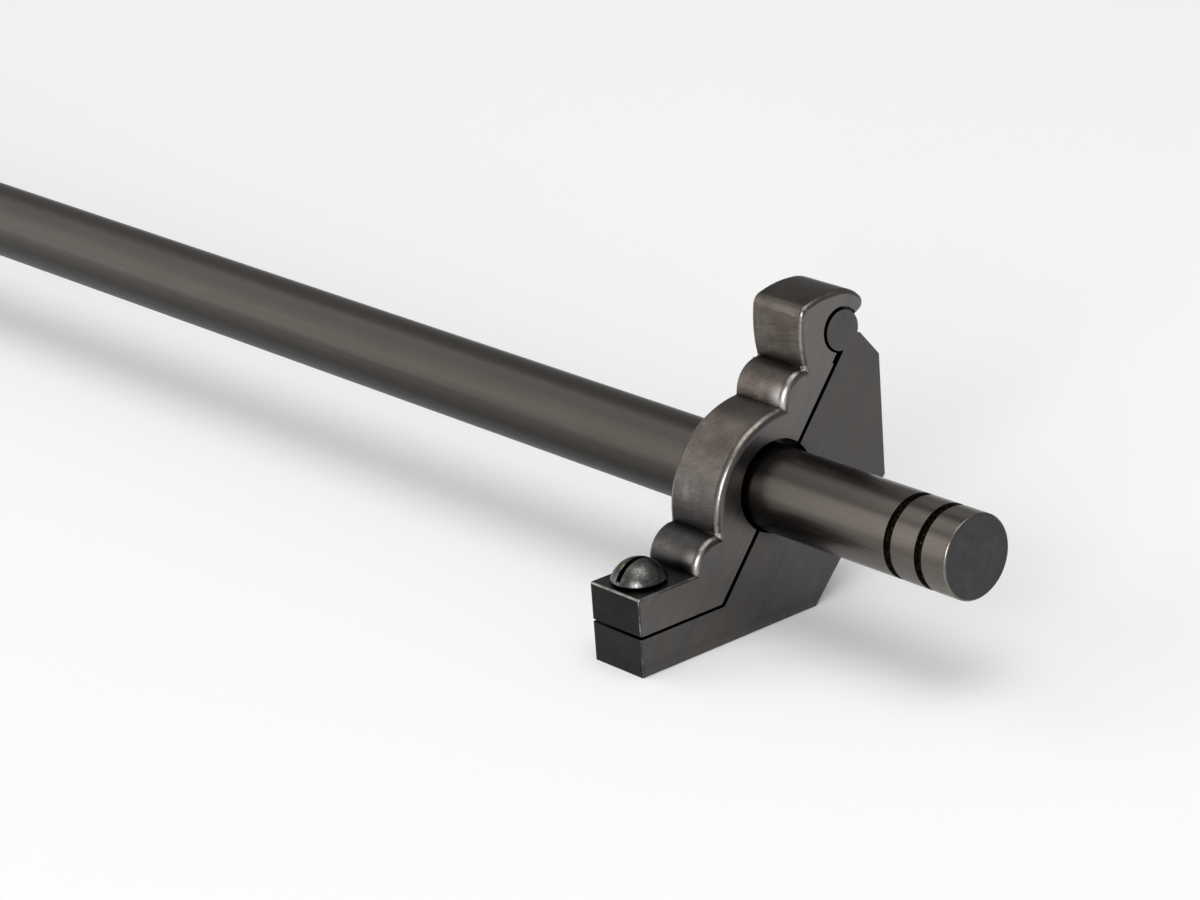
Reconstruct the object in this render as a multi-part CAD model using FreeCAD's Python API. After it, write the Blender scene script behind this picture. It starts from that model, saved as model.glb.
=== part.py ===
import FreeCAD
import Part
import math
import os

# Stair carpet rod: a round bar held near each end in a hinged, scroll-fronted bracket.
# The brackets sit in the corner of tread and riser, one at each edge of the carpet runner.
# Millimetres. +X runs along the rod, +Y towards the riser, +Z up from the tread.
# The origin is on the tread, midway along the rod and midway through the brackets' depth.

# Rod
ROD_DIAMETER = 12.7
ROD_OVERHANG = 40.45
ROD_END_CHAMFER = 0.25
GROOVE_WIDTH = 1.42
GROOVE_DEPTH = 0.75
END_LAND = 4.55
RING_LAND = 4.6

# Place of the brackets along the rod
RUNNER_WIDTH = 600.0
RUNNER_CLEARANCE = 0.6

# Bore that takes the rod, and the rod's seat in it
BORE_CLEARANCE = 0.75
ROD_SEAT_GAP = 0.35
BORE_HEIGHT = 21.25
BORE_SETBACK = 11.85

# Bracket outline
BRACKET_WIDTH = 10.8
LEDGE_LENGTH = 10.9
STEP_RADIUS = 4.75
BASE_FOOT_HEIGHT = 5.95
COVER_FOOT_HEIGHT = 5.78
RING_WALL = 3.35
UPPER_STEP_REACH = 6.8
UPPER_STEP_RISE = 4.2
NECK_BULGE = 0.5
HEEL_SETBACK = 15.3
HEEL_ANGLE = 47.0
BACK_WALL = 7.27

# Split between base and cover: level under the foot, then up a slope through the bore's centre
PARTING_ANGLE = 51.0
SLOPE_GAP = 0.72
FOOT_GAP = 0.5

# Hinge: the bead on the base, the hook of the cover that hangs on it, and the stop for the hook's lip
BEAD_RADIUS = 3.1
BEAD_REACH = 17.45
BEAD_RISE = 1.25
BEAD_CLEARANCE = 0.42
HOOK_SLACK = 0.3
HOOK_CREST_WALL = 2.45
HOOK_MIDDLE_WALL = 2.42
HOOK_LIP_WALL = 2.45
HOOK_CREST_ANGLE = 84.0
HOOK_LIP_ANGLE = 24.0
CREST_DROP = 0.95
CREST_CORNER = 2.0
LIP_CORNER = 1.4
STOP_ANGLE = -21.0
STOP_WIDTH = 0.95
SHOULDER_ANGLE = 50.0
MOUTH_LENGTH = 1.6
MOUTH_DEPTH = 0.35

# Eased edges: bevels round the scroll, small rounds elsewhere
SCROLL_BEVEL = 0.75
CREST_BEVEL = 0.5
PLAIN_EDGE = 0.4

# Cover screw, its holes and its slot
SCREW_DIAMETER = 3.9
SCREW_SETBACK = 4.8
SCREW_HEAD_DIAMETER = 8.3
SCREW_HEAD_RIM = 0.55
SCREW_HEAD_HEIGHT = 3.55
SCREW_HEAD_UNDERCUT = 0.5
SCREW_ENGAGEMENT = 4.5
SCREW_POINT_CHAMFER = 0.4
SCREW_HOLE_CLEARANCE = 0.3
TAPPED_HOLE_CLEARANCE = 0.15
SLOT_WIDTH = 0.85
SLOT_DEPTH = 2.4
SLOT_ANGLE = 90.0

# Holes for the wood screws that fix the base to tread and riser
FIXING_HOLE_DIAMETER = 4.2
FIXING_HEAD_DIAMETER = 7.4
TREAD_HOLE_SPACING = 6.3
RISER_HOLE_RISE = 10.6
RISER_HOLE_LAND = 6.5

# How near two points count as the same place
SAME_PLACE = 1e-4

# Worked-out sizes and places, with (depth, height) pairs measured from the foot's front on the tread
ROD_RADIUS = ROD_DIAMETER / 2
BORE_RADIUS = ROD_RADIUS + BORE_CLEARANCE
SOCKET_RADIUS = BEAD_RADIUS + BEAD_CLEARANCE
HOOK_RISE = BEAD_RISE + HOOK_SLACK
SPLIT_HEIGHT = BASE_FOOT_HEIGHT + FOOT_GAP
FOOT_TOP = SPLIT_HEIGHT + COVER_FOOT_HEIGHT


def along_slope(length, rise=0.0):
    """Offset made of a length up the parting slope and a rise square to it, towards the cover."""
    slope = math.radians(PARTING_ANGLE)
    depth = length * math.cos(slope) - rise * math.sin(slope)
    height = length * math.sin(slope) + rise * math.cos(slope)
    return depth, height


def shift(point, offset):
    return point[0] + offset[0], point[1] + offset[1]


def polar(centre, radius, degrees):
    angle = math.radians(degrees)
    return shift(centre, (radius * math.cos(angle), radius * math.sin(angle)))


LOWER_STEP = (LEDGE_LENGTH + STEP_RADIUS, FOOT_TOP)
BORE = (LOWER_STEP[0] + BORE_SETBACK, BORE_HEIGHT)
ROD_AXIS = (BORE[0], BORE[1] - BORE_CLEARANCE + ROD_SEAT_GAP)
UPPER_STEP = (BORE[0] + UPPER_STEP_REACH, BORE[1] + BORE_RADIUS + UPPER_STEP_RISE)
BEAD = shift(BORE, along_slope(BORE_RADIUS + BEAD_REACH, BEAD_RISE))
SOCKET = shift(BORE, along_slope(BORE_RADIUS + BEAD_REACH, HOOK_RISE))
BRACKET_DEPTH = BEAD[0] + BACK_WALL
BRACKET_MIDDLE = RUNNER_WIDTH / 2 + RUNNER_CLEARANCE + BRACKET_WIDTH / 2
ROD_LENGTH = 2 * (BRACKET_MIDDLE + BRACKET_WIDTH / 2 + ROD_OVERHANG)


def vector(point, x=0.0):
    """Point of the part from a (depth, height) pair."""
    return FreeCAD.Vector(x, point[0] - BRACKET_DEPTH / 2, point[1])


def line(start, end):
    return Part.LineSegment(vector(start), vector(end)).toShape()


def arc(start, middle, end):
    return Part.Arc(vector(start), vector(middle), vector(end)).toShape()


def polyline(points):
    return [line(start, end) for start, end in zip(points, points[1:])]


def extrude_outline(edges, width=BRACKET_WIDTH):
    """Solid centred on x = 0 from the edges of a closed outline."""
    solid = Part.Face(Part.Wire(edges)).extrude(FreeCAD.Vector(width, 0, 0))
    solid.translate(FreeCAD.Vector(-width / 2, 0, 0))
    return solid


def cross_cylinder(centre, radius, width=BRACKET_WIDTH):
    """Cylinder along the rod's direction, centred on x = 0."""
    return Part.makeCylinder(radius, width, vector(centre, -width / 2), FreeCAD.Vector(1, 0, 0))


def upright_cylinder(depth, radius, bottom, top):
    return Part.makeCylinder(radius, top - bottom, vector((depth, bottom)))


def edge_middle(edge):
    return edge.valueAt((edge.FirstParameter + edge.LastParameter) / 2)


def side_edges(solid, outline):
    """Edges of the solid's two flat sides that follow the given edges of its outline."""
    wanted = []
    for edge in outline:
        middle = edge_middle(edge)
        for x in (-BRACKET_WIDTH / 2, BRACKET_WIDTH / 2):
            wanted.append(FreeCAD.Vector(x, middle.y, middle.z))
    found = []
    for edge in solid.Edges:
        middle = edge_middle(edge)
        if any(middle.isEqual(place, SAME_PLACE) for place in wanted):
            found.append(edge)
    return found


def cross_edges(solid, corner):
    """Edges of a solid that run across the bracket's width at a corner of its outline."""
    return [edge for edge in solid.Edges if edge_middle(edge).isEqual(vector(corner), SAME_PLACE)]


def bevelled_disc(centre, radius):
    disc = cross_cylinder(centre, radius)
    rims = [edge for edge in disc.Edges if edge.Closed]
    return disc.makeChamfer(SCROLL_BEVEL, rims)


def circle_through(start, middle, end):
    """Centre and radius of the circle through three points."""
    circle = Part.Circle(vector(start), vector(middle), vector(end))
    return (circle.Center.y + BRACKET_DEPTH / 2, circle.Center.z), circle.Radius


def arc_about(centre, start, end):
    """Arc from start to end about a centre, the short way round."""
    radius = math.dist(centre, start)
    halfway = ((start[0] + end[0]) / 2, (start[1] + end[1]) / 2)
    reach = math.dist(centre, halfway)
    middle = tuple(c + (h - c) * radius / reach for c, h in zip(centre, halfway))
    return arc(start, middle, end)


def slope_meets_hinge(rise, centre_rise, radius):
    """Point where a line up the slope enters a circle at the hinge. Rises are measured from the slope."""
    half_chord = math.sqrt(radius**2 - (centre_rise - rise) ** 2)
    return shift(BORE, along_slope(BORE_RADIUS + BEAD_REACH - half_chord, rise))


def slope_at_height(rise, height):
    """Point at a height on the line up the slope at a rise from it."""
    slope = math.radians(PARTING_ANGLE)
    length = (height - BORE[1] - rise * math.cos(slope)) / math.sin(slope)
    return shift(BORE, along_slope(length, rise))


def cover_foot():
    """Flat tongue under the screw's head, with its upper and front edges rounded."""
    length = BORE[0]
    start = vector((0, SPLIT_HEIGHT), -BRACKET_WIDTH / 2)
    foot = Part.makeBox(BRACKET_WIDTH, length, COVER_FOOT_HEIGHT, start)
    worn = []
    for edge in foot.Edges:
        middle = edge_middle(edge)
        on_top = abs(middle.z - FOOT_TOP) < SAME_PLACE and middle.y < start.y + length - SAME_PLACE
        on_front = abs(middle.y - start.y) < SAME_PLACE and middle.z > SPLIT_HEIGHT + SAME_PLACE
        if on_top or on_front:
            worn.append(edge)
    return foot.makeFillet(PLAIN_EDGE, worn)


def cover_crest():
    """Neck above the upper step, with the crest and the outside of the hook."""
    neck_foot = shift(UPPER_STEP, (0, STEP_RADIUS))
    crest_end = polar(SOCKET, SOCKET_RADIUS + HOOK_CREST_WALL, HOOK_CREST_ANGLE)
    corner = (neck_foot[0], crest_end[1] - CREST_DROP)
    neck_front = (neck_foot[0] - NECK_BULGE, (neck_foot[1] + corner[1]) / 2)
    neck_centre, neck_radius = circle_through(neck_foot, neck_front, corner)
    fall = neck_centre[1] - UPPER_STEP[1]
    root = (neck_centre[0] - math.sqrt(neck_radius**2 - fall**2), UPPER_STEP[1])

    hook_middle = polar(SOCKET, SOCKET_RADIUS + HOOK_MIDDLE_WALL, (HOOK_CREST_ANGLE + HOOK_LIP_ANGLE) / 2)
    hook_lip = polar(SOCKET, SOCKET_RADIUS + HOOK_LIP_WALL, HOOK_LIP_ANGLE)
    hook_centre, _ = circle_through(crest_end, hook_middle, hook_lip)

    # The crest leaves the hook in line with it, so its bulge follows from the hook's direction there.
    outward = math.atan2(crest_end[1] - hook_centre[1], crest_end[0] - hook_centre[0])
    chord = math.dist(corner, crest_end)
    chord_angle = math.atan2(crest_end[1] - corner[1], crest_end[0] - corner[0])
    bulge = chord / 2 * math.tan((chord_angle - outward + math.pi / 2) / 2)
    halfway = ((corner[0] + crest_end[0]) / 2, (corner[1] + crest_end[1]) / 2)
    crest_middle = polar(halfway, bulge, math.degrees(chord_angle) + 90)

    worn = [
        arc_about(neck_centre, root, corner),
        arc(corner, crest_middle, crest_end),
        arc(crest_end, hook_middle, hook_lip),
        line(hook_lip, SOCKET),
    ]
    hidden = polyline([SOCKET, (SOCKET[0], root[1]), root])
    crest = extrude_outline(worn + hidden)
    crest = crest.makeFillet(CREST_CORNER, cross_edges(crest, corner))
    crest = crest.makeFillet(LIP_CORNER, cross_edges(crest, hook_lip))
    kept_sharp = [edge_middle(edge) for edge in hidden]
    rims = []
    for edge in crest.Edges:
        middle = edge_middle(edge)
        outline_place = FreeCAD.Vector(0, middle.y, middle.z)
        on_side = abs(abs(middle.x) - BRACKET_WIDTH / 2) < SAME_PLACE
        if on_side and not any(outline_place.isEqual(place, SAME_PLACE) for place in kept_sharp):
            rims.append(edge)
    return crest.makeChamfer(CREST_BEVEL, rims)


def cover_side_of_split():
    """Everything on the cover's side of the split, with the mouth that leads into the hook."""
    outside = 2 * BRACKET_DEPTH
    mouth_top = slope_meets_hinge(MOUTH_DEPTH, HOOK_RISE, SOCKET_RADIUS)
    mouth_bottom = shift(mouth_top, along_slope(-MOUTH_LENGTH))
    face_top = shift(mouth_bottom, along_slope(0, -MOUTH_DEPTH))
    corners = [
        (-outside, SPLIT_HEIGHT),
        slope_at_height(0, SPLIT_HEIGHT),
        face_top,
        mouth_bottom,
        mouth_top,
        SOCKET,
        (outside, SOCKET[1]),
        (outside, 2 * outside),
        (-outside, 2 * outside),
    ]
    return extrude_outline(polyline(corners + corners[:1]), 2 * BRACKET_WIDTH)


def bracket_cover():
    """Swinging half of a bracket: foot, rounded steps, ring over the rod, and hook round the bead."""
    ring_foot = shift(LOWER_STEP, (0, STEP_RADIUS))
    ring_front = shift(BORE, along_slope(0, BORE_RADIUS + RING_WALL))
    ring_top = shift(UPPER_STEP, (-STEP_RADIUS, 0))
    lobes = [
        bevelled_disc(LOWER_STEP, STEP_RADIUS),
        bevelled_disc(*circle_through(ring_foot, ring_front, ring_top)),
        bevelled_disc(UPPER_STEP, STEP_RADIUS),
        cover_crest(),
    ]
    solid = cover_foot().fuse(lobes).common(cover_side_of_split())
    solid = solid.cut(cross_cylinder(BORE, BORE_RADIUS, 2 * BRACKET_WIDTH))
    solid = solid.cut(cross_cylinder(SOCKET, SOCKET_RADIUS, 2 * BRACKET_WIDTH))
    hole_radius = SCREW_DIAMETER / 2 + SCREW_HOLE_CLEARANCE
    solid = solid.cut(upright_cylinder(SCREW_SETBACK, hole_radius, 0, BORE_HEIGHT))
    return solid.removeSplitter()


def bracket_base():
    """Fixed half of a bracket: foot, half of the bore, heel, and the bead that the cover hangs on."""
    stop = polar(BEAD, BEAD_RADIUS + STOP_WIDTH, STOP_ANGLE)
    bead_start = polar(BEAD, BEAD_RADIUS, STOP_ANGLE)
    bead_middle = polar(BEAD, BEAD_RADIUS, (STOP_ANGLE + PARTING_ANGLE) / 2 + 90)
    bead_end = slope_meets_hinge(-SLOPE_GAP, BEAD_RISE, BEAD_RADIUS)
    shoulder_fall = (BRACKET_DEPTH - stop[0]) * math.tan(math.radians(SHOULDER_ANGLE))
    worn = polyline([
        (0, BASE_FOOT_HEIGHT),
        (0, 0),
        (BRACKET_DEPTH - HEEL_SETBACK, 0),
        (BRACKET_DEPTH, HEEL_SETBACK * math.tan(math.radians(HEEL_ANGLE))),
        (BRACKET_DEPTH, stop[1] - shoulder_fall),
        stop,
    ])
    inside = [line(stop, bead_start), arc(bead_start, bead_middle, bead_end)]
    inside += polyline([bead_end, slope_at_height(-SLOPE_GAP, BASE_FOOT_HEIGHT), (0, BASE_FOOT_HEIGHT)])
    solid = extrude_outline(worn + inside)
    solid = solid.makeFillet(PLAIN_EDGE, side_edges(solid, worn))
    solid = solid.cut(cross_cylinder(BORE, BORE_RADIUS, 2 * BRACKET_WIDTH))
    tapped_radius = SCREW_DIAMETER / 2 + TAPPED_HOLE_CLEARANCE
    solid = solid.cut(upright_cylinder(SCREW_SETBACK, tapped_radius, -BASE_FOOT_HEIGHT, BORE_HEIGHT))
    return solid.cut(fixing_holes())


def fixing_holes():
    """Countersunk holes for the wood screws, down into the tread and back into the riser."""
    hole_radius = FIXING_HOLE_DIAMETER / 2
    head_radius = FIXING_HEAD_DIAMETER / 2
    sink = head_radius - hole_radius
    down = FreeCAD.Vector(0, 0, -1)
    back = FreeCAD.Vector(0, 1, 0)
    tread_mouth = vector((SCREW_SETBACK + TREAD_HOLE_SPACING, BASE_FOOT_HEIGHT))
    riser_height = BORE[1] + RISER_HOLE_RISE
    riser_start = vector((BORE[0], riser_height))
    riser_seat = vector((BRACKET_DEPTH - RISER_HOLE_LAND, riser_height))
    return Part.makeCompound([
        Part.makeCylinder(hole_radius, 2 * BASE_FOOT_HEIGHT, tread_mouth, down),
        Part.makeCone(head_radius, hole_radius, sink, tread_mouth, down),
        Part.makeCylinder(hole_radius, BRACKET_DEPTH, riser_start, back),
        Part.makeCylinder(head_radius, riser_seat.y - riser_start.y, riser_start, back),
        Part.makeCone(head_radius, hole_radius, sink, riser_seat, back),
    ])


def cover_screw():
    """Slotted round-head screw, seated on the cover's foot and threaded into the base."""
    shank = SCREW_DIAMETER / 2
    head = SCREW_HEAD_DIAMETER / 2
    tip = BASE_FOOT_HEIGHT - SCREW_ENGAGEMENT
    rim = FOOT_TOP + SCREW_HEAD_RIM
    top = FOOT_TOP + SCREW_HEAD_HEIGHT
    dome_radius = (head**2 + (top - rim) ** 2) / (2 * (top - rim))
    dome_angle = math.asin(head / dome_radius) / 2
    dome_middle = (dome_radius * math.sin(dome_angle), top - dome_radius * (1 - math.cos(dome_angle)))

    def place(point):
        return FreeCAD.Vector(point[0], 0, point[1])

    outline = [
        (0, top),
        (0, tip),
        (shank - SCREW_POINT_CHAMFER, tip),
        (shank, tip + SCREW_POINT_CHAMFER),
        (shank, FOOT_TOP),
        (head - SCREW_HEAD_UNDERCUT, FOOT_TOP),
        (head, rim),
    ]
    edges = [Part.LineSegment(place(a), place(b)).toShape() for a, b in zip(outline, outline[1:])]
    edges.append(Part.Arc(place((head, rim)), place(dome_middle), place((0, top))).toShape())
    screw = Part.Face(Part.Wire(edges)).revolve(FreeCAD.Vector(0, 0, 0), FreeCAD.Vector(0, 0, 1), 360)
    corner = FreeCAD.Vector(-head, -SLOT_WIDTH / 2, top - SLOT_DEPTH)
    slot = Part.makeBox(2 * head, SLOT_WIDTH, 2 * SLOT_DEPTH, corner)
    slot.rotate(FreeCAD.Vector(0, 0, 0), FreeCAD.Vector(0, 0, 1), SLOT_ANGLE)
    screw = screw.cut(slot)
    screw.translate(vector((SCREW_SETBACK, 0)))
    return screw


def stair_rod():
    """Turned bar with a pair of grooves near each end."""
    half = ROD_LENGTH / 2
    outer_groove = half - END_LAND - GROOVE_WIDTH
    inner_groove = outer_groove - RING_LAND - GROOVE_WIDTH
    bottom = ROD_RADIUS - GROOVE_DEPTH
    right = []
    for start in (inner_groove, outer_groove):
        end = start + GROOVE_WIDTH
        right += [(start, ROD_RADIUS), (start, bottom), (end, bottom), (end, ROD_RADIUS)]
    right += [(half - ROD_END_CHAMFER, ROD_RADIUS), (half, ROD_RADIUS - ROD_END_CHAMFER), (half, 0)]
    left = [(-x, radius) for x, radius in reversed(right)]
    points = [FreeCAD.Vector(x, 0, radius) for x, radius in left + right + left[:1]]
    rod = Part.Face(Part.makePolygon(points)).revolve(FreeCAD.Vector(0, 0, 0), FreeCAD.Vector(1, 0, 0), 360)
    rod.translate(vector(ROD_AXIS))
    return rod


def main():
    os.makedirs("parts", exist_ok=True)
    stair_rod().exportStep("parts/stair_rod.step")
    base = bracket_base()
    cover = bracket_cover()
    screw = cover_screw()
    for side, middle in (("left", -BRACKET_MIDDLE), ("right", BRACKET_MIDDLE)):
        place = FreeCAD.Vector(middle, 0, 0)
        base.translated(place).exportStep(f"parts/bracket_base_{side}.step")
        cover.translated(place).exportStep(f"parts/bracket_cover_{side}.step")
        screw.translated(place).exportStep(f"parts/cover_screw_{side}.step")


main()
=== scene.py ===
import bpy
import math
from mathutils import Matrix, Vector

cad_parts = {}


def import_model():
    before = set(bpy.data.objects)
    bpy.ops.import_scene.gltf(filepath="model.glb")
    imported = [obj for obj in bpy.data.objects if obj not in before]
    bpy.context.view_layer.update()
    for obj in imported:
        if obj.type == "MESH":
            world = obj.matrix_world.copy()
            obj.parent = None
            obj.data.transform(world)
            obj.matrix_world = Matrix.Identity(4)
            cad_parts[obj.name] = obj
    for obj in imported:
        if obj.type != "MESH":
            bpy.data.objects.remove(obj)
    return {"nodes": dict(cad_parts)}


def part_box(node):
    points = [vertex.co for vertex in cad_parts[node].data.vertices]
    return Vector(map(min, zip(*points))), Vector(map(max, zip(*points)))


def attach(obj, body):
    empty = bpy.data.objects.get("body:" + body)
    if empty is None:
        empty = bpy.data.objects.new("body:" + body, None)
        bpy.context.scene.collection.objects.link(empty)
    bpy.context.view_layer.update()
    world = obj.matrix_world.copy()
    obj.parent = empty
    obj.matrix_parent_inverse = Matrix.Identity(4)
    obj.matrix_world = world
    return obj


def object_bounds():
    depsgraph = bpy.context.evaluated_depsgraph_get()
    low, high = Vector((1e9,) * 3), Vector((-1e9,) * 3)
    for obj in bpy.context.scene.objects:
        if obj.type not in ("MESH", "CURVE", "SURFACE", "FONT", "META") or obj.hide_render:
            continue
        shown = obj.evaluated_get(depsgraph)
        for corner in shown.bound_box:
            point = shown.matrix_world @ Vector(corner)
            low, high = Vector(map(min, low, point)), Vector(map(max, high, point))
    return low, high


# Looks of a stair carpet rod in dark brushed bronze, seen from the photograph's corner view.
# Metres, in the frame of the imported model: +X along the rod, +Y towards the riser, +Z up.
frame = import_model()
bpy.context.view_layer.update()
cad_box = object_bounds()

MM = 0.001
SIDES = ("left", "right")

# Camera at the photograph's view of the right-hand end, in metres and degrees
CAMERA_PLACE = (0.70885, -0.35035, 0.23135)
CAMERA_AZIMUTH = 51.09
CAMERA_ELEVATION = 20.87
CAMERA_ROLL = -4.34
CAMERA_LENS_MM = 118.14
CAMERA_SENSOR_MM = 36.0

# Studio. Each grey of the surround belongs to an upward part of the direction that is looked in. The lamps
# aim at the right-hand bracket, at a share of the rod's half length and at a height.
FLOOR_SIZE = 24.0
FLOOR_COLOUR = (0.88, 0.88, 0.88, 1.0)
FLOOR_LIFT = 0.11
WORLD_GREYS = ((0.0, 0.42), (0.25, 0.24), (0.9, 0.40))
LAMP_AIM_SHARE = 0.87
LAMP_AIM_HEIGHT = 0.02

# Cleaning of the CAD meshes: points nearer than a distance are welded, and faces that turn by less than an
# angle, in degrees, are joined.
WELD_DISTANCE = 0.002 * MM
FLAT_ANGLE = 0.3

# Easing of the bevels' edges by a width. It takes the edges above a height that turn outwards by more than
# one angle and less than another, in degrees. The crest, where Y and Z add up to more than its line, takes
# a share of the width.
EDGE_WIDTH = {"scroll": 0.50 * MM, "rod": 0.12 * MM, "screw": 0.12 * MM}
EDGE_SEGMENTS = 3
BEVEL_ANGLE = 38.0
SQUARE_ANGLE = 60.0
ANGLE_MARGIN = 1.0
EASED_HEIGHT = 12.6 * MM
HEIGHT_MARGIN = 0.1 * MM
CREST_LINE = 47.03 * MM
CREST_MARGIN = 0.05 * MM
CREST_SHARE = 0.66

# Edges shaded smooth, in degrees: those that turn outwards and inwards by less. Large faces lead the
# shading by a weight out of 100.
ROUND_ANGLE = 50.0
INSIDE_ANGLE = 28.0
LARGE_FACE_WEIGHT = 100

# Brushing of the brackets, in degrees from the tread on the sides and from the rod elsewhere
SIDE_BRUSH_ANGLE = 51.0
ACROSS_BRUSH_TILT = 12.0

# Rounded steps of the covers in millimetres: the depth and height of their axes, and their radius
STEP_AXES = ((-8.97, 12.23), (9.68, 32.55))
STEP_RADIUS = 4.75

# Spans of how far a surface faces a way, from -1 to 1, over which it becomes a face of some kind. The last
# two of four numbers are the span over which it is one no longer.
SIDE_FACING = (0.80, 0.97)
RIM_FACING = (0.12, 0.45, 0.62, 0.92)
BROW_FACING = (0.15, 0.50, 0.75, 0.98)
STEP_TIP_FACING = (-0.75, -0.30, 0.30, 0.80)
ROD_END_FACING = (0.90, 0.98)
ROD_EDGE_FACING = (0.10, 0.45, 0.75, 0.98)
ROD_SHOULDER_FACING = (0.56, 0.80, 0.95, 1.0)

# Spans in millimetres over which the brackets' looks change: heights above the tread, depths from the
# brackets' middle, distances from a step's axis, and distances outwards from a bracket's middle
FOOT_BEVEL_HEIGHTS = (11.2, 11.6)
FOOT_FRONT_DEPTHS = (-21.0, -20.0)
FOOT_TOP_HEIGHTS = (12.24, 12.34)
STEP_DISTANCES = (STEP_RADIUS + 0.2, STEP_RADIUS + 0.5)
STEP_TIP_DISTANCES = (1.6, 5.2)
STEP_FOOT_HEIGHTS = (12.4, 15.0)
NOOK_HEIGHTS = (13.0, 18.0)
LOW_SHADE_HEIGHTS = (12.5, 34.0)
BROWN_HEIGHTS = (16.0, 31.0)
SIDE_HEIGHTS = (4.0, 46.0)
CREST_HEIGHTS = (41.0, 45.5)
TREAD_HEIGHTS = (0.8, 4.0)

# Spans in millimetres over which the rod's look changes: distances inwards from its nearer end, and depths
# below its skin
ROD_END = (0.05, 0.2)
ROD_CHAMFER = (0.5, 0.6)
ROD_TOP_HIGHLIGHT = (5.0, 16.0)
ROD_END_LIGHT = (8.0, 38.0)
ROD_UNDERSIDE = (18.0, 34.0)
ROD_POLISHED = (26.0, 64.0)
ROD_SHOULDER = (36.0, 52.0)
ROD_SHOULDER_FADE = (4.0, 22.0)
ROD_GROOVE_DEPTHS = (0.12, 0.25)

# Spans in millimetres over which the screws' look changes: depths below the head's top, and distances from
# the axis or sideways from it
LIP_DEPTHS = (0.05, 0.25, 0.7, 1.2)
SLOT_DEPTHS = (2.45, 2.55)
UNDERSIDE_DEPTHS = (2.8, 3.0)
SHANK_DEPTHS = (3.5, 3.6)
SHANK_DISTANCES = (2.1, 2.3)
SLOT_DISTANCES = (0.44, 0.52)
LIP_DISTANCES = (-0.66, -0.58, -0.46, -0.42)

# Thread of the screws, in millimetres and degrees. Its ends run out over a share of a turn.
THREAD_PITCH = 0.7
THREAD_RADIUS = 2.05
THREAD_ROOT_RADIUS = 1.90
THREAD_CREST_WIDTH = 0.14
THREAD_ROOT_WIDTH = 0.62
THREAD_START = 0.75
THREAD_END = 10.45
THREAD_RUN_OUT = 0.4
POINTS_PER_TURN = 32
THREAD_SHARP_ANGLE = 30.0

# Colours of the metals. Where there are two, a noise or the thread's ridge blends them. Browning multiplies
# a colour by its shares.
# The fronts' brown is partly the plating's tone and partly painted warm reflection
GREY_FRONT = ((0.084, 0.079, 0.075, 1), (0.112, 0.106, 0.101, 1))
BROWN_FRONT = ((0.097, 0.081, 0.069, 1), (0.136, 0.118, 0.104, 1))
BROWNED_SHARES = (0.98, 0.88, 0.82)
# Colour of the rims: real rubbing with painted highlight
RUBBED_RIM_AND_SHEEN = (0.260, 0.240, 0.222, 1)
# Colour of the steps' outer tips: painted highlight, with some rubbing
STEP_TIP_HIGHLIGHT_AND_WEAR = (0.50, 0.475, 0.45, 1)
ROD_PLATING = ((0.094, 0.082, 0.071, 1), (0.114, 0.101, 0.090, 1))
ROD_END_METAL = ((0.050, 0.050, 0.050, 1), (0.060, 0.060, 0.060, 1))
ROD_EDGE_METAL = (0.240, 0.220, 0.200, 1)
ROD_GROOVE_DIRT = ((0.008, 0.007, 0.006, 1), (0.105, 0.064, 0.034, 1))
SCREW_PLATING = ((0.055, 0.054, 0.052, 1), (0.230, 0.224, 0.215, 1))
# The slot and the head's underside are painted near black: painted shade
SCREW_SLOT_SHADE = (0.008, 0.007, 0.006, 1)
SCREW_UNDERSIDE = (0.012, 0.011, 0.010, 1)
SCREW_LIP_BRASS = (0.62, 0.43, 0.18, 1)
THREAD_BRASS = ((0.030, 0.024, 0.016, 1), (0.300, 0.225, 0.125, 1))

# Depths of the metals' fine relief, and the range in which most of a noise's values lie
BRACKET_RELIEF = 0.003 * MM
ROD_RELIEF = 0.0008 * MM
SCREW_RELIEF = 0.008 * MM
THREAD_RELIEF = 0.10 * MM
NOISE_RANGE = (0.25, 0.75)


class Nodes:
    """A node tree in the making. What its sockets are fed is a constant or the output of a node."""

    def __init__(self, tree):
        self.tree = tree

    def feed(self, socket, value):
        if isinstance(value, bpy.types.NodeSocket):
            self.tree.links.new(value, socket)
        else:
            socket.default_value = value

    def node(self, kind, *values, operation=None, **named):
        """Adds a node and feeds its inputs, in their order and by name."""
        made = self.tree.nodes.new(kind)
        if operation:
            made.operation = operation
        for socket, value in zip(made.inputs, values):
            self.feed(socket, value)
        for name, value in named.items():
            self.feed(made.inputs[name], value)
        return made

    def math(self, operation, *values):
        return self.node("ShaderNodeMath", *values, operation=operation).outputs[0]

    def axes(self, vector):
        return self.node("ShaderNodeSeparateXYZ", vector).outputs


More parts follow.
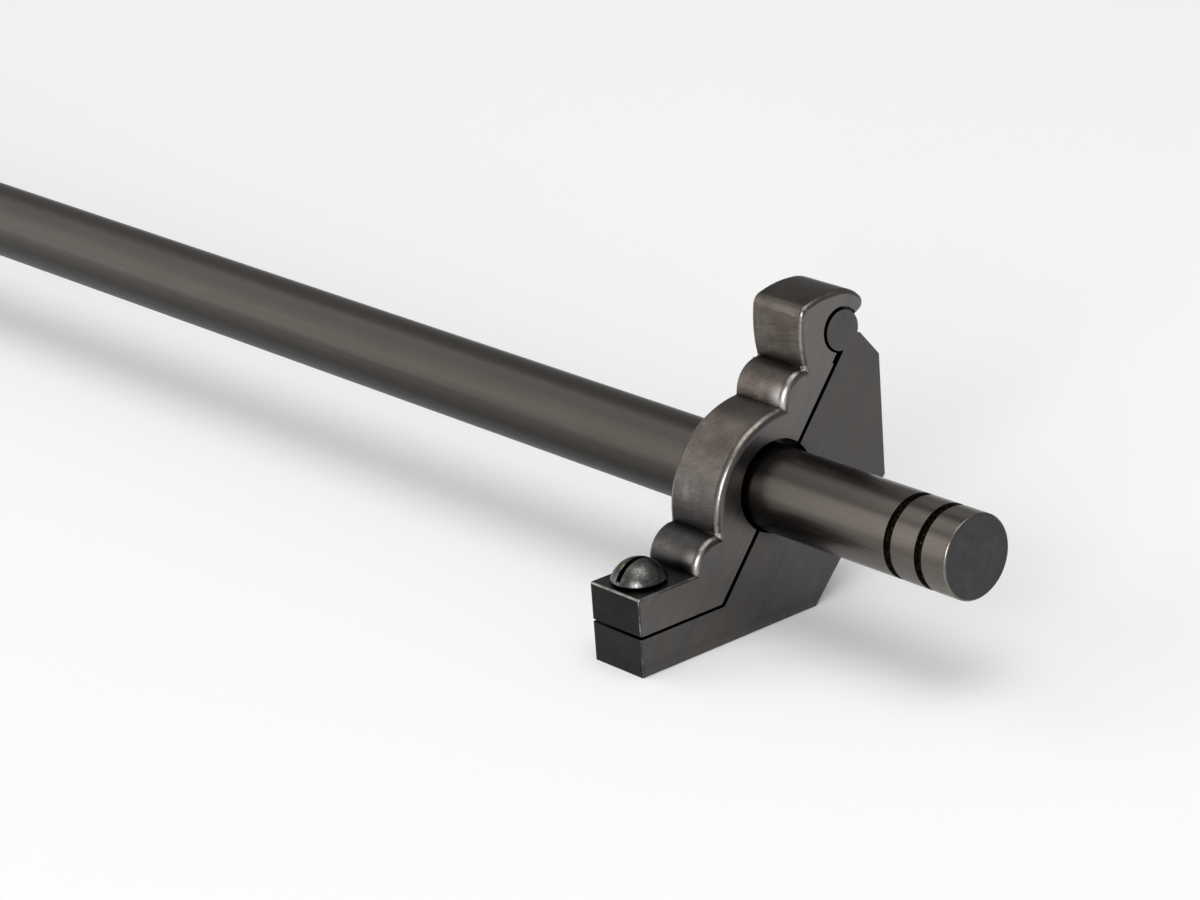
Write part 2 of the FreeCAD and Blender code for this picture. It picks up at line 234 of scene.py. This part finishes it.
class Look(Nodes):
    """A metal's material in the making. Most of its methods add nodes and return an output.

    x, y and z are the place in millimetres, and the facing values are how far the surface faces each way.
    """

    def __init__(self, name):
        self.material = bpy.data.materials.new(name)
        self.material.use_nodes = True
        super().__init__(self.material.node_tree)
        place = self.node("ShaderNodeTexCoord").outputs
        self.millimetres = self.vector("SCALE", place["Object"], Scale=1 / MM)
        self.x, self.y, self.z = self.axes(self.millimetres)
        self.facing_x, self.facing_back, self.facing_up = self.axes(place["Normal"])

    def vector(self, operation, *values, **named):
        made = self.node("ShaderNodeVectorMath", *values, operation=operation, **named)
        return made.outputs["Value" if operation == "LENGTH" else "Vector"]

    def length(self, *parts):
        """Length of the vector with these parts."""
        return self.vector("LENGTH", self.node("ShaderNodeCombineXYZ", *parts).outputs[0])

    def ramp(self, value, start, end, low=0.0, high=1.0):
        """Smooth step of a value from low at start to high at end."""
        made = self.node("ShaderNodeMapRange", value, start, end, low, high)
        made.interpolation_type = "SMOOTHSTEP"
        return made.outputs["Result"]

    def fade(self, value, start, end):
        """Smooth step of a value from 1 at start to 0 at end."""
        return self.ramp(value, start, end, 1.0, 0.0)

    def band(self, value, start, full, waning, end):
        """Smooth steps of a value from 0 at start to 1 at full, and from 1 at waning to 0 at end."""
        return self.times(self.ramp(value, start, full), self.fade(value, waning, end))

    def noise(self, size, turn=0.0, tilt=0.0, detail=3.0, roughness=0.6, shift=0.0):
        """Noise whose features measure size (x, y, z) in millimetres, turned about X and Y by degrees.

        A shift in millimetres keeps two noises apart.
        """
        turned = (math.radians(turn), math.radians(tilt), 0.0)
        mapping = self.node("ShaderNodeMapping", self.millimetres, (shift, shift, shift), turned, size)
        mapping.vector_type = "TEXTURE"
        vector = mapping.outputs["Vector"]
        made = self.node("ShaderNodeTexNoise", Vector=vector, Scale=1.0, Detail=detail, Roughness=roughness)
        return made.outputs["Fac"]

    def blend(self, data_type, ending, share, first, second):
        """Blend of two values of a type, whose sockets' identifiers have an ending."""
        made = self.node("ShaderNodeMix")
        made.data_type = data_type
        inputs = {socket.identifier: socket for socket in made.inputs}
        self.feed(inputs["Factor_Float"], share)
        self.feed(inputs[f"A_{ending}"], first)
        self.feed(inputs[f"B_{ending}"], second)
        return next(socket for socket in made.outputs if socket.identifier == f"Result_{ending}")

    def mix(self, share, first, second):
        """Blend of two numbers."""
        return self.blend("FLOAT", "Float", share, first, second)

    def tint(self, share, first, second):
        """Blend of two colours."""
        return self.blend("RGBA", "Color", share, first, second)

    def shade(self, colour, *shares):
        """Colour times each of the shares."""
        for share in shares:
            colour = self.vector("SCALE", colour, Scale=share)
        return colour

    def times(self, first, *others):
        """Product of numbers."""
        for other in others:
            first = self.math("MULTIPLY", first, other)
        return first

    def less(self, first, second):
        return self.math("SUBTRACT", first, second)

    def without(self, share):
        """What a share leaves of 1."""
        return self.less(1.0, share)

    def most(self, first, second):
        return self.math("MAXIMUM", first, second)

    def openness(self, reach):
        """How open a point is to its surroundings within a reach in millimetres, from 0 to 1."""
        return self.node("ShaderNodeAmbientOcclusion", Distance=reach * MM).outputs["AO"]

    def bump(self, height, depth, **named):
        """Normal of a relief whose height, from 0 to 1, spans a depth in metres."""
        return self.node("ShaderNodeBump", Height=height, Distance=depth, **named).outputs["Normal"]

    def finish(self, colour, roughness, normal):
        """Feeds the shader and returns the material."""
        inputs = self.tree.nodes["Principled BSDF"].inputs
        self.feed(inputs["Base Color"], colour)
        self.feed(inputs["Roughness"], roughness)
        self.feed(inputs["Normal"], normal)
        self.feed(inputs["Metallic"], 1.0)
        return self.material


def bracket_faces(look):
    """Shares to which a bracket's surface is a flat side, a rim of one, the foot and the foot's corner."""
    facing_side = look.math("ABSOLUTE", look.facing_x)
    side = look.ramp(facing_side, *SIDE_FACING)
    rim = look.band(facing_side, *RIM_FACING)
    brow = look.times(
        look.band(look.facing_up, *BROW_FACING),
        look.ramp(look.z, *FOOT_BEVEL_HEIGHTS),
        look.fade(look.y, *FOOT_FRONT_DEPTHS),
    )
    foot = look.fade(look.z, *FOOT_TOP_HEIGHTS)
    corner = look.times(look.most(rim, brow), foot)
    return side, rim, foot, corner


def bracket_steps(look, side, axes):
    """Shares to which a bracket's surface is a rounded step, and the outer tip of one, which takes painted
    highlight with some rubbing.
    """
    low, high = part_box("bracket_cover_right")
    middle = (low.x + high.x) / 2 / MM
    outward = look.less(look.math("ABSOLUTE", look.x), middle)
    step = 0.0
    for depth, height in axes:
        distance = look.length(0.0, look.less(look.y, depth), look.less(look.z, height))
        step = look.most(step, look.fade(distance, *STEP_DISTANCES))
    tip = look.times(
        step,
        look.ramp(outward, *STEP_TIP_DISTANCES, 0.0, 0.9),
        look.fade(look.facing_back, -0.5, -0.2),
        look.band(look.facing_up, *STEP_TIP_FACING),
        look.without(side),
    )
    return step, tip


def bracket_brushing(look, side):
    """Brush marks: those across, the broad ones along the slope, and all of a bracket's marks together."""
    across = look.noise((5.0, 0.12, 0.12), tilt=-ACROSS_BRUSH_TILT, detail=4.0)
    fine = look.noise((2.0, 6.0, 0.09), SIDE_BRUSH_ANGLE)
    broad = look.noise((2.0, 14.0, 1.2), SIDE_BRUSH_ANGLE, detail=4.0, roughness=0.45, shift=30.0)
    return across, broad, look.mix(side, across, look.mix(0.4, fine, broad))


def bracket_plating(look, side, broad, side_low, side_high):
    """Colour of the plating: a clouded front, grey below and brown above, its warmth partly painted
    reflection, and sides with brown marks.
    """
    cloud = look.ramp(look.noise((5.0, 5.0, 3.5)), 0.32, 0.68)
    patches = look.ramp(look.noise((2.6, 2.6, 2.6), shift=50.0), 0.54, 0.74, 1.0, 1.35)
    grey_front = look.tint(cloud, *GREY_FRONT)
    brown_front = look.tint(cloud, *BROWN_FRONT)
    front = look.shade(look.tint(look.ramp(look.z, *BROWN_HEIGHTS), grey_front, brown_front), patches)
    sides = look.tint(look.ramp(look.z, *SIDE_HEIGHTS), side_low, side_high)
    browned = look.vector("MULTIPLY", sides, BROWNED_SHARES)
    sides = look.tint(look.ramp(broad, 0.40, 0.68, 0.0, 0.7), sides, browned)
    return look.tint(side, front, sides)


def bracket_painted_shade(look, side, rubbed_and_lit, step, low_shade):
    """Shares of painted shade: on what hangs over, in the nook over the foot, along the steps and on the
    crest.
    """
    front = look.without(side)
    kept = look.times(front, look.without(rubbed_and_lit))
    # Darker where the front faces down, most over the foot: painted shade
    hanging = look.times(look.fade(look.facing_up, -0.05, 0.30), kept)
    overhang_shade = look.times(hanging, look.ramp(look.z, *LOW_SHADE_HEIGHTS, low_shade, 0.12))
    nook = look.times(front, look.ramp(look.z, *NOOK_HEIGHTS, 0.35, 0.0))
    on_top = look.ramp(look.facing_up, 0.45, 0.95, 0.0, 0.5)
    at_foot = look.ramp(look.z, *STEP_FOOT_HEIGHTS, 0.55, 0.0)
    crease = look.times(step, kept, look.most(on_top, at_foot))
    crest = look.times(look.ramp(look.z, *CREST_HEIGHTS), look.ramp(look.facing_up, 0.60, 0.90, 0.0, 0.40))
    return overhang_shade, nook, crease, crest


def bracket_look(name, side_low, side_high, low_shade, corner_wear_and_sheen, step_axes=()):
    """Dark bronze plating, brushed along the slope on the sides and across elsewhere, worn on the rims.

    The rims, the foot's corners and the steps' outer ends are lightened by rubbing and painted highlight,
    and painted shade darkens the front over the foot, the hollows, the steps and the crest. The sides'
    colour runs from side_low at the tread to side_high at the crest. The soot is the share of painted shade
    by which the foot's front is darkened, corner_wear_and_sheen is the colour its corners are worn and lit
    to, and the step axes are those of the bracket's rounded steps.
    """
    look = Look(name)
    side, rim, foot, corner = bracket_faces(look)
    step, tip = bracket_steps(look, side, step_axes)
    across, broad, brushing = bracket_brushing(look, side)
    rubbing = look.ramp(look.noise((2.2, 2.2, 2.2), shift=20.0), 0.35, 0.65, 0.30, 1.0)
    wear_and_sheen = look.times(look.most(rim, corner), rubbing)

    colour = bracket_plating(look, side, broad, side_low, side_high)
    # Rims and the foot's corners lightened by rubbing and by painted highlight
    colour = look.tint(wear_and_sheen, colour, look.tint(foot, RUBBED_RIM_AND_SHEEN, corner_wear_and_sheen))
    # The steps' outer tips take painted highlight, with some rubbing
    colour = look.tint(tip, colour, STEP_TIP_HIGHLIGHT_AND_WEAR)
    across_strokes = look.ramp(across, *NOISE_RANGE, 0.76, 1.24)
    side_strokes = look.ramp(brushing, *NOISE_RANGE, 0.78, 1.22)
    near_tread = look.fade(look.z, *TREAD_HEIGHTS)
    # Darker where occluded, in corners, gaps and the bore: painted shade, with patina in the hollows
    open_share = look.most(look.ramp(look.openness(4.0), 0.20, 0.92, 0.03, 1.0), near_tread)
    colour = look.shade(colour, look.mix(side, across_strokes, side_strokes), open_share)
    # Painted shade over the foot, in the nook, along the steps and on the crest
    for shade_share in bracket_painted_shade(look, side, look.most(wear_and_sheen, tip), step, low_shade):
        colour = look.shade(colour, look.without(shade_share))

    polish = look.ramp(brushing, *NOISE_RANGE, 0.29, 0.40)
    roughness = look.mix(wear_and_sheen, polish, 0.28)
    return look.finish(colour, roughness, look.bump(brushing, BRACKET_RELIEF))


def rod_faces(look, inward, sunk):
    """Shares to which the rod's surface is an end, a groove and an edge."""
    facing_end = look.math("ABSOLUTE", look.facing_x)
    end = look.times(look.ramp(facing_end, *ROD_END_FACING), look.fade(inward, *ROD_END))
    groove = look.times(look.ramp(sunk, *ROD_GROOVE_DEPTHS), look.ramp(inward, *ROD_CHAMFER))
    edge = look.times(look.band(facing_end, *ROD_EDGE_FACING), look.without(groove))
    return end, groove, edge


def rod_tones(look, inward):
    """Painted light and shade: shares that lighten the rod at its ends and on top there, and darken its
    underside and shoulder.
    """
    end_light = look.ramp(inward, *ROD_END_LIGHT, 1.20, 0.82)
    top_highlight = look.times(look.fade(inward, *ROD_TOP_HIGHLIGHT), look.ramp(look.facing_up, 0.94, 1.0, 0.0, 0.8))
    hanging = look.ramp(look.facing_up, -0.35, 0.35, 0.84, 0.0)
    underside = look.times(hanging, look.ramp(inward, *ROD_UNDERSIDE))
    shoulder = look.times(
        look.band(look.facing_up, *ROD_SHOULDER_FACING),
        look.fade(look.facing_back, -0.25, -0.05),
        look.fade(inward, *ROD_SHOULDER),
        look.ramp(inward, *ROD_SHOULDER_FADE, 0.12, 0.36),
    )
    return end_light, look.math("ADD", 1.0, top_highlight), look.without(underside), look.without(shoulder)


def rod_look():
    """Dark bronze plating brushed along the rod, with black grooves and matt ends."""
    look = Look("brushed_bronze_rod")
    low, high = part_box("stair_rod")
    centre = (low + high) / 2 / MM
    radius = (high.z - low.z) / 2 / MM
    inward = look.less(high.x / MM, look.math("ABSOLUTE", look.x))
    off_axis = look.length(0.0, look.less(look.y, centre.y), look.less(look.z, centre.z))
    end, groove, edge = rod_faces(look, inward, look.less(radius, off_axis))

    brushing = look.noise((60.0, 0.10, 0.10))
    bands = look.noise((120.0, 1.1, 1.1), detail=2.0, shift=5.0)
    cloud = look.noise((14.0, 5.0, 5.0), detail=2.0, shift=40.0)
    scuffs = look.ramp(look.noise((1.0, 2.0, 4.0), turn=35.0, detail=4.0), *NOISE_RANGE)
    specks = look.ramp(look.noise((0.5, 0.35, 0.35), shift=9.0), 0.54, 0.66)
    colour = look.tint(end, look.tint(cloud, *ROD_PLATING), look.tint(scuffs, *ROD_END_METAL))
    colour = look.tint(look.times(edge, 0.4), colour, ROD_EDGE_METAL)
    colour = look.tint(groove, colour, look.tint(specks, *ROD_GROOVE_DIRT))
    strokes = look.ramp(brushing, *NOISE_RANGE, 0.93, 1.07)
    banding = look.ramp(bands, 0.30, 0.70, 0.93, 1.07)
    # Darker where occluded, near the bore and the brackets: painted shade
    open_share = look.most(look.ramp(look.openness(3.0), 0.10, 0.85, 0.08, 1.0), groove)
    # Painted light near the rod's ends and on top there, painted shade underneath and on the shoulder
    colour = look.shade(colour, strokes, banding, open_share, *rod_tones(look, inward))

    brushed = look.ramp(brushing, *NOISE_RANGE, 0.34, 0.39)
    roughness = look.less(brushed, look.ramp(inward, *ROD_POLISHED, 0.10, 0.0))
    roughness = look.mix(end, roughness, 0.50)
    roughness = look.mix(groove, roughness, 0.65)
    return look.finish(colour, roughness, look.bump(look.mix(end, brushing, scuffs), ROD_RELIEF))


def screw_look():
    """Blackened plating, worn mottled on the head, with painted shade black in the slot and under the head,
    and a brass lip and thread.
    """
    look = Look("rubbed_bronze_screw")
    low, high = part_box("cover_screw_right")
    centre = (low + high) / 2 / MM
    aside = look.less(look.x, look.times(look.math("SIGN", look.x), centre.x))
    behind = look.less(look.y, centre.y)
    depth = look.less(high.z / MM, look.z)
    off_axis = look.length(aside, behind, 0.0)
    across_slot = look.math("ABSOLUTE", aside)
    slot = look.times(look.fade(across_slot, *SLOT_DISTANCES), look.fade(depth, *SLOT_DEPTHS))
    under = look.ramp(depth, *UNDERSIDE_DEPTHS)
    shank = look.times(look.fade(off_axis, *SHANK_DISTANCES), look.ramp(depth, *SHANK_DEPTHS))

    mottle = look.ramp(look.noise((0.45, 0.45, 0.45), detail=5.0, roughness=0.7), 0.42, 0.70)
    scratches = look.noise((0.06, 1.6, 0.5), turn=20.0, shift=3.0)
    tone = look.mix(0.35, mottle, look.ramp(scratches, 0.30, 0.70))
    lip = look.times(
        look.ramp(look.noise((0.9, 0.9, 0.9), shift=14.0), 0.42, 0.52),
        look.band(aside, *LIP_DISTANCES),
        look.band(depth, *LIP_DEPTHS),
    )
    # Slot and the head's underside painted near black: painted shade
    colour = look.tint(slot, look.tint(tone, *SCREW_PLATING), SCREW_SLOT_SHADE)
    colour = look.tint(under, colour, SCREW_UNDERSIDE)
    colour = look.tint(lip, colour, SCREW_LIP_BRASS)

    round_axis = look.math("DIVIDE", look.math("ARCTAN2", behind, aside), 2 * math.pi)
    turns = look.less(look.math("DIVIDE", look.z, THREAD_PITCH), round_axis)
    ridge = look.math("PINGPONG", turns, 0.5)
    threaded = look.tint(look.ramp(ridge, 0.05, 0.45), *THREAD_BRASS)
    colour = look.tint(shank, colour, threaded)
    # Darker where occluded: painted shade
    colour = look.shade(colour, look.ramp(look.openness(1.5), 0.10, 0.80, 0.06, 1.0))

    roughness = look.mix(slot, look.ramp(tone, 0.0, 1.0, 0.36, 0.22), 0.50)
    worn = look.bump(tone, SCREW_RELIEF)
    return look.finish(colour, roughness, look.bump(look.times(ridge, shank), THREAD_RELIEF, Normal=worn))


def add(name, data):
    """Object in the scene for a mesh, lamp or camera."""
    made = bpy.data.objects.new(name, data)
    bpy.context.scene.collection.objects.link(made)
    return made


def add_mesh(name, points, faces, material):
    mesh = bpy.data.meshes.new(name)
    mesh.from_pydata(points, [], faces)
    mesh.materials.append(material)
    return add(name, mesh)


def thread(side, material):
    """Right-hand thread round a screw's shank, made of one ridge that runs out at its ends."""
    low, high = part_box(f"cover_screw_{side}")
    centre = (low + high) / 2 / MM
    first = (low.z / MM + THREAD_START) / THREAD_PITCH
    last = (low.z / MM + THREAD_END) / THREAD_PITCH
    count = round((last - first) * POINTS_PER_TURN)
    points = []
    for index in range(count + 1):
        turns = first + (last - first) * index / count
        # Half a turn back, so that the crest lies where the look's ridge is highest
        angle = 2 * math.pi * (turns - 0.5)
        share = min(1.0, (turns - first) / THREAD_RUN_OUT, (last - turns) / THREAD_RUN_OUT)
        crest = THREAD_ROOT_RADIUS + (THREAD_RADIUS - THREAD_ROOT_RADIUS) * share
        section = (
            (THREAD_ROOT_RADIUS, -THREAD_ROOT_WIDTH / 2),
            (crest, -THREAD_CREST_WIDTH / 2),
            (crest, THREAD_CREST_WIDTH / 2),
            (THREAD_ROOT_RADIUS, THREAD_ROOT_WIDTH / 2),
        )
        for radius, rise in section:
            x = centre.x + radius * math.cos(angle)
            y = centre.y + radius * math.sin(angle)
            z = turns * THREAD_PITCH + rise
            points.append((x * MM, y * MM, z * MM))
    corners = len(section)
    end = count * corners
    faces = [tuple(range(corners)), tuple(reversed(range(end, end + corners)))]
    for here in range(0, end, corners):
        there = here + corners
        for corner in range(corners):
            beside = (corner + 1) % corners
            faces.append((here + corner, there + corner, there + beside, here + beside))
    piece = add_mesh(f"screw_thread_{side}", points, faces, material)
    piece.data.shade_smooth()
    piece.data.set_sharp_from_angle(angle=math.radians(THREAD_SHARP_ANGLE))
    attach(piece, f"{side}_screw")


def geometry_group(name):
    """Nodes of an empty geometry group, with its input's output and its output's input."""
    group = bpy.data.node_groups.new(name, "GeometryNodeTree")
    for way in ("INPUT", "OUTPUT"):
        group.interface.new_socket("Geometry", in_out=way, socket_type="NodeSocketGeometry")
    nodes = Nodes(group)
    return nodes, nodes.node("NodeGroupInput").outputs[0], nodes.node("NodeGroupOutput").inputs[0]


def edge_turn(nodes):
    """How far an edge turns in degrees, above 0 where it turns outwards."""
    return nodes.math("DEGREES", nodes.node("GeometryNodeInputMeshEdgeAngle").outputs["Signed Angle"])


def outer_edges_group():
    """Weighs the edges of a mesh's bevels above a height, the crest's by its share."""
    nodes, source, result = geometry_group("outer_edges")
    turn = edge_turn(nodes)
    place = nodes.axes(nodes.node("GeometryNodeInputPosition").outputs[0])
    slant = nodes.math("ADD", place["Y"], place["Z"])
    weight = 1.0
    for value, line, margin, low, high in (
        (turn, BEVEL_ANGLE, ANGLE_MARGIN, 0.0, 1.0),
        (turn, SQUARE_ANGLE, ANGLE_MARGIN, 1.0, 0.0),
        (place["Z"], EASED_HEIGHT, HEIGHT_MARGIN, 0.0, 1.0),
        (slant, CREST_LINE, CREST_MARGIN, 1.0, CREST_SHARE),
    ):
        step = nodes.node("ShaderNodeMapRange", value, line - margin, line + margin, low, high)
        weight = nodes.math("MULTIPLY", weight, step.outputs["Result"])
    store = nodes.node("GeometryNodeStoreNamedAttribute")
    store.data_type = "FLOAT"
    store.domain = "EDGE"
    nodes.feed(store.inputs["Geometry"], source)
    nodes.feed(store.inputs["Name"], "bevel_weight_edge")
    nodes.feed(store.inputs["Value"], weight)
    nodes.feed(result, store.outputs["Geometry"])
    return nodes.tree


def smooth_rounds_group():
    """Shades a mesh smooth, apart from its square edges and inside corners."""
    nodes, source, result = geometry_group("smooth_rounds")
    middle = (ROUND_ANGLE - INSIDE_ANGLE) / 2
    rounded = nodes.math("COMPARE", edge_turn(nodes), middle, ROUND_ANGLE - middle)
    smooth = nodes.node("GeometryNodeSetShadeSmooth", Geometry=source)
    sharp = nodes.node("GeometryNodeSetShadeSmooth", Geometry=smooth.outputs["Geometry"])
    sharp.domain = "EDGE"
    nodes.feed(sharp.inputs["Selection"], nodes.math("SUBTRACT", 1.0, rounded))
    nodes.feed(sharp.inputs["Shade Smooth"], False)
    nodes.feed(result, sharp.outputs["Geometry"])
    return nodes.tree


def dress(name, material, edge_width=None):
    """Gives a CAD node a material and smooth shading, and eases the edges of its bevels by a width."""
    node = frame["nodes"][name]
    node.material_slots[0].material = material
    weld = node.modifiers.new("weld", "WELD")
    weld.merge_threshold = WELD_DISTANCE
    flat = node.modifiers.new("flat", "DECIMATE")
    flat.decimate_type = "DISSOLVE"
    flat.angle_limit = math.radians(FLAT_ANGLE)
    if edge_width:
        chosen = node.modifiers.new("chosen", "NODES")
        chosen.node_group = outer_edges
        bevel = node.modifiers.new("bevel", "BEVEL")
        bevel.width = edge_width
        bevel.segments = EDGE_SEGMENTS
        bevel.limit_method = "WEIGHT"
        bevel.use_clamp_overlap = False
    smooth = node.modifiers.new("smooth", "NODES")
    smooth.node_group = smooth_rounds
    normals = node.modifiers.new("normals", "WEIGHTED_NORMAL")
    normals.weight = LARGE_FACE_WEIGHT
    normals.keep_sharp = True


def floor():
    """Plain pale floor, brightened where the camera or a reflection sees it."""
    material = bpy.data.materials.new("pale_floor")
    material.use_nodes = True
    nodes = Nodes(material.node_tree)
    rays = nodes.node("ShaderNodeLightPath").outputs
    reflected = nodes.math("MAXIMUM", rays["Is Glossy Ray"], rays["Is Transmission Ray"])
    seen = nodes.math("MAXIMUM", rays["Is Camera Ray"], reflected)
    inputs = nodes.tree.nodes["Principled BSDF"].inputs
    nodes.feed(inputs["Base Color"], FLOOR_COLOUR)
    nodes.feed(inputs["Roughness"], 0.9)
    nodes.feed(inputs["Specular IOR Level"], 0.1)
    nodes.feed(inputs["Emission Color"], (1, 1, 1, 1))
    nodes.feed(inputs["Emission Strength"], nodes.math("MULTIPLY", seen, FLOOR_LIFT))

    half = FLOOR_SIZE / 2
    points = [(-half, -half, 0), (half, -half, 0), (half, half, 0), (-half, half, 0)]
    plane = add_mesh("floor", points, [(0, 1, 2, 3)], material)


def world():
    """Soft grey surround, dimmest a little above the horizon, where the metal's tops are reflected."""
    made = bpy.data.worlds.new("studio")
    made.use_nodes = True
    nodes = Nodes(made.node_tree)
    direction = nodes.node("ShaderNodeTexCoord").outputs["Generated"]
    ramp = nodes.node("ShaderNodeValToRGB", nodes.axes(direction)["Z"])
    stops = ramp.color_ramp.elements
    # A third stop, between the two that a ramp starts with
    stops.new(0.5)
    for stop, (height, grey) in zip(stops, WORLD_GREYS):
        stop.position = height
        stop.color = (grey, grey, grey, 1.0)
    nodes.feed(nodes.tree.nodes["Background"].inputs["Color"], ramp.outputs["Color"])
    bpy.context.scene.world = made


def softbox(name, direction, distance, size, watts):
    """Square area lamp at a distance from the right-hand bracket, facing it."""
    target = Vector((cad_box[1].x * LAMP_AIM_SHARE, 0, LAMP_AIM_HEIGHT))
    way = Vector(direction).normalized()
    lamp = bpy.data.lights.new(name, "AREA")
    lamp.size = size
    lamp.energy = watts
    held = add(name, lamp)
    held.location = target + way * distance
    held.rotation_euler = (-way).to_track_quat("-Z", "Y").to_euler()
    held.visible_camera = False


def camera():
    """Camera that sees the right-hand end as the photograph does."""
    azimuth = math.radians(CAMERA_AZIMUTH)
    elevation = math.radians(CAMERA_ELEVATION)
    data = bpy.data.cameras.new("camera")
    data.lens = CAMERA_LENS_MM
    data.sensor_width = CAMERA_SENSOR_MM
    held = add("camera", data)
    turn = Matrix.Rotation(azimuth, 4, "Z") @ Matrix.Rotation(math.pi / 2 - elevation, 4, "X")
    roll = Matrix.Rotation(math.radians(CAMERA_ROLL), 4, "Z")
    held.matrix_world = Matrix.Translation(CAMERA_PLACE) @ turn @ roll
    bpy.context.scene.camera = held


outer_edges = outer_edges_group()
smooth_rounds = smooth_rounds_group()
base = bracket_look(
    "brushed_bronze_base",
    side_low=(0.094, 0.092, 0.091, 1),
    side_high=(0.092, 0.091, 0.091, 1),
    low_shade=0.70,
    corner_wear_and_sheen=(0.42, 0.41, 0.40, 1),
)
cover = bracket_look(
    "brushed_bronze_cover",
    side_low=(0.128, 0.124, 0.121, 1),
    side_high=(0.158, 0.153, 0.149, 1),
    low_shade=0.84,
    corner_wear_and_sheen=(0.46, 0.44, 0.42, 1),
    step_axes=STEP_AXES,
)
screw = screw_look()
dress("stair_rod", rod_look(), EDGE_WIDTH["rod"])
for side in SIDES:
    dress(f"bracket_base_{side}", base)
    dress(f"bracket_cover_{side}", cover, EDGE_WIDTH["scroll"])
    dress(f"cover_screw_{side}", screw, EDGE_WIDTH["screw"])
    thread(side, screw)
floor()
world()
softbox("key", direction=(-0.76, -0.60, 0.29), distance=2.9, size=2.1, watts=20.0)
softbox("fill", direction=(-0.72, -0.10, 0.70), distance=2.9, size=1.55, watts=7.5)
softbox("rim", direction=(0.55, -0.78, 0.32), distance=2.2, size=0.95, watts=31.0)
softbox("top", direction=(0.20, -0.10, 1.0), distance=3.1, size=2.4, watts=36.0)
camera()
bpy.context.scene.view_settings.view_transform = "Standard"

bpy.context.view_layer.update()
